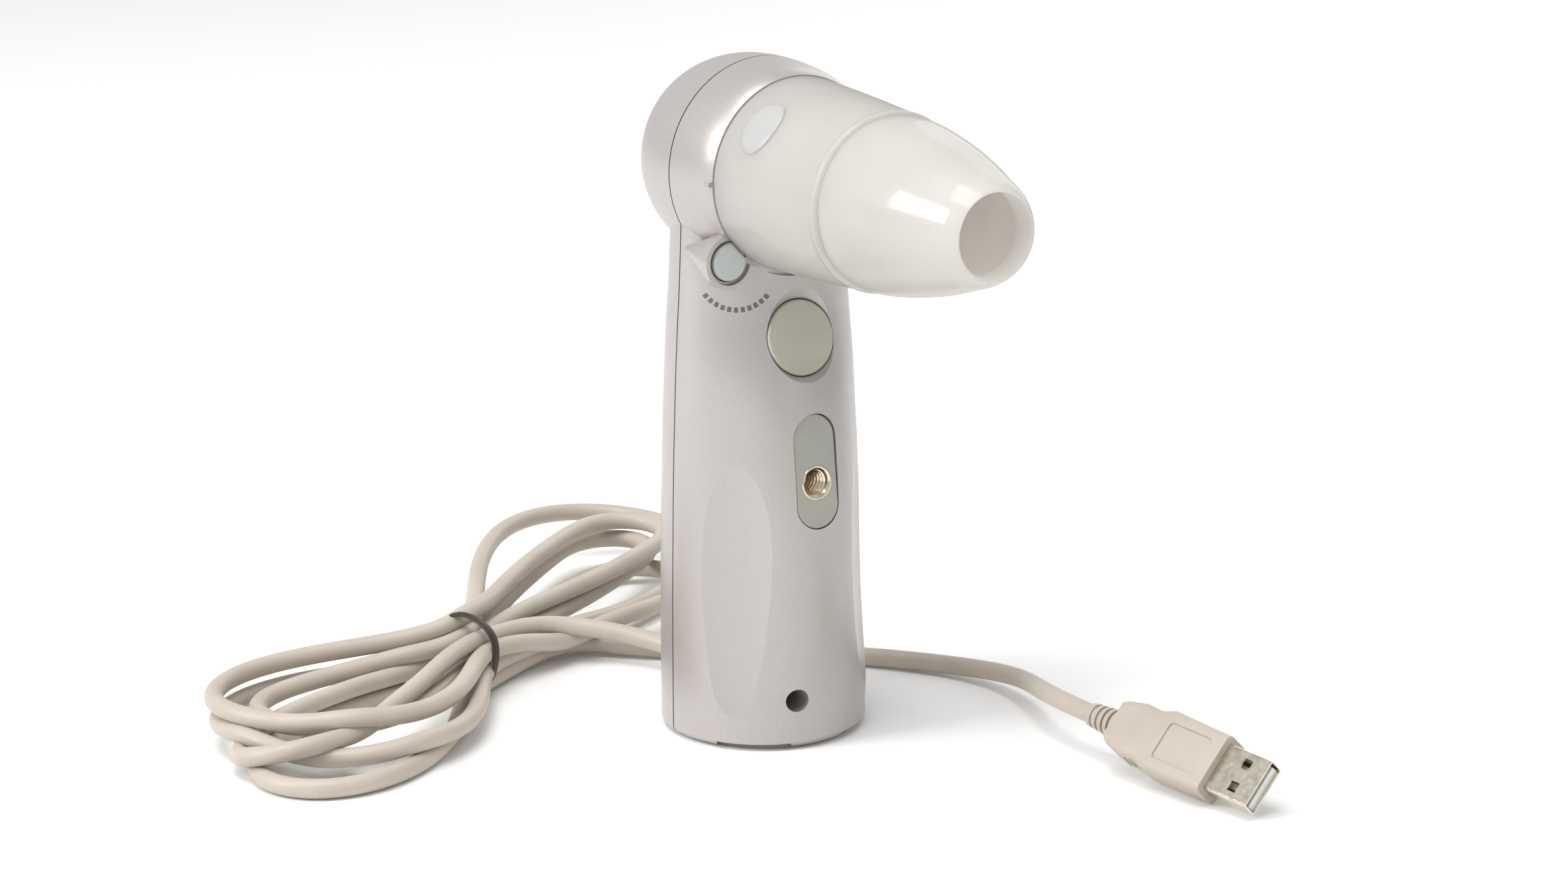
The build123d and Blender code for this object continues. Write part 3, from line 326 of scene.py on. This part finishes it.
# how slowly a turn widens from the tie, and the widest value of sin(t) * ((1 - cos(t)) / 2) ** power
PINCH_LEFT = (0.5, 0.77)
PINCH_RIGHT = (0.8, 0.69)
BEND_SPANS = ((2, 0.85), (3, 1.09), (4, 1.15), (5, 1.05))
BEND_REACH = 20              # chord, in mm, that a span's factor multiplies


def in_room(along, across, height):
    """A place given along and across the hank, in the shared frame."""
    x, y = HANK_AT + HANK_ALONG * along + HANK_ACROSS * across
    return (x, y, height)


def lobe_points(start, end, reach, side_out, side_back, high_out, high_back):
    """One teardrop turn from a place in the tie, round and back to the next."""
    power, peak = PINCH_RIGHT if reach > 0 else PINCH_LEFT
    points = []
    for i in range(POINTS_PER_LOBE):
        done = i / POINTS_PER_LOBE
        turn = 2 * pi * done
        away = (1 - cos(turn)) / 2
        lift = away ** 0.6
        middle = (side_out + side_back) / 2
        half = (side_out - side_back) / 2 / peak
        tied = [a * (1 - done) + b * done for a, b in zip(start, end)]
        across = tied[0] * (1 - away) + middle * away + half * sin(turn) * away ** power
        ease = done * done * (3 - 2 * done)
        far = high_out + (high_back - high_out) * ease
        points.append(in_room(reach * away, across, tied[1] * (1 - lift) + far * lift))
    return points


def push_apart(points, a, b, wanted, share, free):
    """Move the pairs of points that are closer than wanted away from each other."""
    gap = points[b] - points[a]
    length = np.linalg.norm(gap, axis=1)
    close = np.where(length < wanted)[0]
    if len(close) == 0:
        return
    a, b = a[close], b[close]
    way = gap[close] / np.maximum(length[close], 1e-3)[:, None]
    step = (wanted - length[close]) * share
    np.add.at(points, a, -way * (step * free[a])[:, None])
    np.add.at(points, b, way * (step * free[b])[:, None])


def settle(route, held_before, held_after):
    """Let the strands lie beside and on each other; the first and last points of the route are held."""
    points = np.array(route, float)
    planned = points.copy()
    count = len(points)
    free = np.ones(count)
    free[:held_before] = 0
    free[count - held_after:] = 0
    first, second = np.triu_indices(count, NEIGHBOURS_SKIPPED)
    for _ in range(SETTLE_STEPS):
        points += PULL_TO_PLAN * (planned - points) * free[:, None]
        bend = np.zeros_like(points)
        bend[1:-1] = (points[:-2] + points[2:]) / 2 - points[1:-1]
        change = np.zeros_like(points)
        change[1:-1] = (bend[:-2] + bend[2:]) / 2 - bend[1:-1]
        points -= SMOOTHING * change * free[:, None]
        for _ in range(2):
            push_apart(points, first, second, LIE_APART, PUSH_APART_SHARE, free)
        for span, factor in BEND_SPANS:
            ends = np.arange(count - 2 * span)
            push_apart(points, ends, ends + 2 * span, factor * BEND_REACH, UNBEND_SHARE, free)
        points[free > 0, 2] = np.maximum(points[free > 0, 2], ON_FLOOR)
    return points


def even_steps(points, step):
    """The same line with points a step apart."""
    points = np.array(points, float)
    runs = np.linalg.norm(np.diff(points, axis=0), axis=1)
    along = np.concatenate([[0], np.cumsum(runs)])
    wanted = np.linspace(0, along[-1], int(along[-1] / step) + 1)
    return np.stack([np.interp(wanted, along, points[:, i]) for i in range(3)], axis=1)


def hank_points():
    """Control points of the tied turns, settled among the lead's two free runs."""
    turns = []
    for i, lobe in enumerate(LOBES):
        turns += lobe_points(IN_TIE[i], IN_TIE[i + 1], *lobe)
    turns.append(in_room(3, *IN_TIE[-1]))
    before, turns, after = [even_steps(run, HANK_STEP) for run in (LEAD_ROUTE, turns, PLUG_ROUTE)]
    route = np.concatenate([before, turns, after])
    settled = settle(route, len(before), len(after))
    return settled[len(before) + 1:len(route) - len(after) - 2]


def plug_axis():
    """Direction in which the plug points."""
    return Vector((
        sin(PLUG_HEADING) * cos(PLUG_DROP), -cos(PLUG_HEADING) * cos(PLUG_DROP), -sin(PLUG_DROP)))


def make_cord(materials):
    """The whole lead as one curve: out of the foot, through the hank and into the plug's sleeve."""
    sleeve = PLUG_AT - plug_axis() * (PLUG_BODY_LENGTH + RELIEF_LENGTH)
    near = sleeve - plug_axis() * RELIEF_STRAIGHT
    points = LEAD_ROUTE + [tuple(p) for p in hank_points()] + PLUG_ROUTE + [tuple(near), tuple(sleeve)]
    curve = bpy.data.curves.new("usb_lead", "CURVE")
    curve.dimensions = "3D"
    spline = curve.splines.new("NURBS")
    spline.points.add(len(points) - 1)
    for point, target in zip(spline.points, points):
        point.co = (*(Vector(target) * MM), 1)
    spline.order_u = 3
    spline.use_endpoint_u = True
    spline.resolution_u = 4
    curve.bevel_depth = CORD_D / 2 * MM
    curve.bevel_resolution = 6
    curve.use_fill_caps = True
    curve.materials.append(materials["cable_beige"])
    cord = bpy.data.objects.new("usb_lead", curve)
    bpy.context.scene.collection.objects.link(cord)
    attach(cord, "root")
    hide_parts("cable_lead", "cable_hank", "cable_plug_run")
    return cord


# ---------------------------------------------------------------- meshes made here
def mesh_object(name, vertices, faces, material):
    """A smooth closed mesh with its normals outwards."""
    mesh = bpy.data.meshes.new(name)
    mesh.from_pydata(vertices, [], faces)
    work = bmesh.new()
    work.from_mesh(mesh)
    bmesh.ops.recalc_face_normals(work, faces=work.faces)
    work.to_mesh(mesh)
    work.free()
    mesh.materials.append(material)
    mesh.polygons.foreach_set("use_smooth", [True] * len(mesh.polygons))
    mesh.update()
    piece = bpy.data.objects.new(name, mesh)
    bpy.context.scene.collection.objects.link(piece)
    return piece


def loft(rings, close_ends=False, closed_loop=False):
    """Vertices and quads through rings of equally many points."""
    size = len(rings[0])
    vertices = [tuple(p) for ring in rings for p in ring]
    faces = []
    steps = len(rings) if closed_loop else len(rings) - 1
    for i in range(steps):
        low, high = i * size, (i + 1) % len(rings) * size
        for j in range(size):
            k = (j + 1) % size
            faces.append((low + j, low + k, high + k, high + j))
    if close_ends:
        last = (len(rings) - 1) * size
        faces.append(tuple(reversed(range(size))))
        faces.append(tuple(range(last, last + size)))
    return vertices, faces


TIE_MIDDLE = (0.4, 9.5)      # to the side, and height
TIE_HALF = (9.7, 9.2)
TIE_HALF_WIDTH = 1.35
TIE_HALF_THICK = 0.42
TIE_SLANT = 1.6
TIE_DIPS = (0.018, 5)         # how far it dips between strands, as a share, and how often
TIE_UNEVEN = (0.06, 3)        # how much its width varies, as a share, and how often
TIE_LOWEST = 0.1
TIE_STEPS = 72
TIE_PROFILE = 16


def make_tie(materials):
    """Rubbery band pulled round the bundle: it dips between strands and slants a little."""
    rings = []
    for i in range(TIE_STEPS):
        turn = 2 * pi * i / TIE_STEPS
        slack = 1 + TIE_DIPS[0] * cos(TIE_DIPS[1] * turn)
        slant = TIE_SLANT * sin(turn + 0.4)
        out = np.array([cos(turn), sin(turn)])
        ring = []
        for j in range(TIE_PROFILE):
            part = 2 * pi * j / TIE_PROFILE
            wide = TIE_HALF_WIDTH * cos(part) * (1 + TIE_UNEVEN[0] * sin(TIE_UNEVEN[1] * turn))
            thick = TIE_HALF_THICK * sin(part)
            across = TIE_MIDDLE[0] + out[0] * (TIE_HALF[0] * slack + thick)
            height = TIE_MIDDLE[1] + out[1] * (TIE_HALF[1] * slack + thick)
            place = in_room(slant + wide, across, max(height, TIE_LOWEST))
            ring.append(Vector(place) * MM)
        rings.append(ring)
    vertices, faces = loft(rings, closed_loop=True)
    tie = mesh_object("cord_tie", vertices, faces, materials["tie_black"])
    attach(tie, "root")
    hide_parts("cable_tie")
    return tie


PLATE_AT = Vector((0, -21.5, 65.7))
PLATE_LEAN = radians(7)
PLATE_OUT = Vector((0, -cos(PLATE_LEAN), sin(PLATE_LEAN)))
PLATE_UP = Vector((0, sin(PLATE_LEAN), cos(PLATE_LEAN)))
INSERT_DROP = 2.65            # below the plate's middle
INSERT_PROUD = 0.15
INSERT_FACE = PLATE_AT - PLATE_UP * INSERT_DROP + PLATE_OUT * INSERT_PROUD
INSERT_OUTER_R = 4.0
INSERT_LENGTH = 9.95
INSERT_ROUND = 0.12
THREAD_R = 2.7                # to the crests
THREAD_DEPTH = 0.55
THREAD_PITCH = 1.27
THREAD_START = 0.75
THREAD_END = 9.0
THREAD_CREST = 0.15           # shares of half a pitch that the crest and the flank take
THREAD_FLANK = 0.7
THREAD_SIDES = 64
ROWS_PER_TURN = 12
BORE_MOUTH = ((0, 3.62), (0.08, 3.5))
BORE_BOTTOM = (9.2, 2.6)


def make_threaded_insert(materials):
    """The insert with its real thread, cut as a helix. Depths go inwards from its face."""
    profile = [
        (INSERT_LENGTH, INSERT_OUTER_R), (INSERT_ROUND, INSERT_OUTER_R),
        (0, INSERT_OUTER_R - INSERT_ROUND), *BORE_MOUTH]
    rings = [[(depth, radius)] * THREAD_SIDES for depth, radius in profile]
    rows = int((THREAD_END - THREAD_START) / THREAD_PITCH * ROWS_PER_TURN)
    for i in range(rows + 1):
        depth = THREAD_START + (THREAD_END - THREAD_START) * i / rows
        ring = []
        for j in range(THREAD_SIDES):
            phase = (depth / THREAD_PITCH + j / THREAD_SIDES) % 1
            flank = min(max((abs(2 * phase - 1) - THREAD_CREST) / THREAD_FLANK, 0), 1)
            ring.append((depth, THREAD_R + THREAD_DEPTH * flank))
        rings.append(ring)
    rings.append([BORE_BOTTOM] * THREAD_SIDES)
    placed = []
    for ring in rings:
        points = []
        for j, (depth, radius) in enumerate(ring):
            turn = 2 * pi * j / THREAD_SIDES
            side = Vector((radius * cos(turn), 0, 0)) + PLATE_UP * (radius * sin(turn))
            points.append((INSERT_FACE - PLATE_OUT * depth + side) * MM)
        placed.append(points)
    vertices, faces = loft(placed, close_ends=True)
    insert = mesh_object("threaded_insert", vertices, faces, materials["brass"])
    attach(insert, "root")
    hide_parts("tripod_insert")


BADGE_TURN = radians(49)
BADGE_Y = -24.2
BADGE_SIZE = (5.3, 6.6)       # half sizes along and round the collar
BADGE_THICK = 0.55            # above the collar's outline
BADGE_SUNK = 0.15             # below it
BADGE_SIDES = 64
COLLAR_OUTLINE = ((-13.7, 22.0), (-32.0, 21.15), (-48.2, 20.0))   # y and radius


def collar_radius(y):
    """Parabola through three places of the collar's outline."""
    (y0, r0), (y1, r1), (y2, r2) = COLLAR_OUTLINE
    return (
        r0 * (y - y1) * (y - y2) / (y0 - y1) / (y0 - y2)
        + r1 * (y - y0) * (y - y2) / (y1 - y0) / (y1 - y2)
        + r2 * (y - y0) * (y - y1) / (y2 - y0) / (y2 - y1))


def make_badge(materials):
    """Plain oval badge that follows the collar, with a rounded edge."""
    outwards = Vector((-sin(BADGE_TURN), 0, cos(BADGE_TURN)))
    round_collar = Vector((cos(BADGE_TURN), 0, sin(BADGE_TURN)))
    reaches = [0.02, 0.25, 0.5, 0.7, 0.85, 0.93, 0.97, 0.99, 1.0]
    whole = BADGE_THICK + BADGE_SUNK
    levels = [(reach, whole * sqrt(1 - reach ** 12) - BADGE_SUNK) for reach in reaches]
    levels += [(reach, -BADGE_SUNK) for reach in (0.7, 0.35, 0.02)]
    rings = []
    for reach, lift in levels:
        ring = []
        for j in range(BADGE_SIDES):
            turn = 2 * pi * j / BADGE_SIDES
            y = BADGE_Y - BADGE_SIZE[0] * reach * cos(turn)
            aside = BADGE_SIZE[1] * reach * sin(turn)
            radius = collar_radius(y) + lift
            place = Vector((0, y, AXIS_HEIGHT)) + round_collar * aside
            ring.append((place + outwards * sqrt(radius * radius - aside * aside)) * MM)
        rings.append(ring)
    vertices, faces = loft(rings, close_ends=True)
    badge = mesh_object("oval_badge", vertices, faces, materials["badge_grey"])
    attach(badge, "lens_unit")
    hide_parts("lens_badge")


# ---------------------------------------------------------------- floor, light and camera, in metres
FLOOR_HALF_SIZE = 6.0
WORLD_STRENGTH = 0.62
LIGHTS = {   # place, size and power
    "key_left": ((-1.2, 0.25, 0.75), (0.45, 0.6), 10),
    "fill_front": ((0.3, -1.5, 0.5), (1.0, 0.8), 0.8),
    "top": ((-0.35, -0.1, 1.3), (0.8, 0.8), 11),
    "rear_right": ((1.0, 0.7, 0.6), (0.6, 0.9), 2),
}
LIT_POINT = (0, 0, 0.08)
CAMERA_AT = Vector((-0.4717, -0.7264, 0.3146))
CAMERA_FORWARD = Vector((0.528, 0.8038, -0.2741))
CAMERA_LENS = 89.45           # mm, for the sensor width below
SENSOR_WIDTH = 36


def make_stage():
    mesh = bpy.data.meshes.new("floor")
    size = FLOOR_HALF_SIZE
    corners = [(-size, -size, 0), (size, -size, 0), (size, size, 0), (-size, size, 0)]
    mesh.from_pydata(corners, [], [(0, 1, 2, 3)])
    floor = bpy.data.objects.new("floor", mesh)
    bpy.context.scene.collection.objects.link(floor)
    paint = Paint("floor_white").set(Base_Color=(0.93, 0.93, 0.93, 1), Roughness=0.9)
    mesh.materials.append(paint.material)


def area_light(name, place, size, power):
    light = bpy.data.lights.new(name, "AREA")
    light.shape = "RECTANGLE"
    light.size, light.size_y = size
    light.energy = power
    lamp = bpy.data.objects.new(name, light)
    lamp.location = place
    lamp.rotation_euler = (Vector(LIT_POINT) - Vector(place)).to_track_quat("-Z", "Y").to_euler()
    bpy.context.scene.collection.objects.link(lamp)


def make_light():
    for name, values in LIGHTS.items():
        area_light(name, *values)
    world = bpy.data.worlds.new("studio")
    world.use_nodes = True
    world.node_tree.nodes["Background"].inputs["Color"].default_value = (1, 1, 1, 1)
    world.node_tree.nodes["Background"].inputs["Strength"].default_value = WORLD_STRENGTH
    bpy.context.scene.world = world
    bpy.context.scene.view_settings.view_transform = "Standard"


def make_camera():
    data = bpy.data.cameras.new("camera")
    data.sensor_width = SENSOR_WIDTH
    data.lens = CAMERA_LENS
    camera = bpy.data.objects.new("camera", data)
    camera.location = CAMERA_AT
    camera.rotation_euler = CAMERA_FORWARD.to_track_quat("-Z", "Y").to_euler()
    bpy.context.scene.collection.objects.link(camera)
    bpy.context.scene.camera = camera


make_camera()
make_light()
make_stage()
MATERIALS = make_materials()
dress_nodes(MATERIALS)
CORD = make_cord(MATERIALS)
TIE = make_tie(MATERIALS)
make_threaded_insert(MATERIALS)
shorten_spring()
make_badge(MATERIALS)
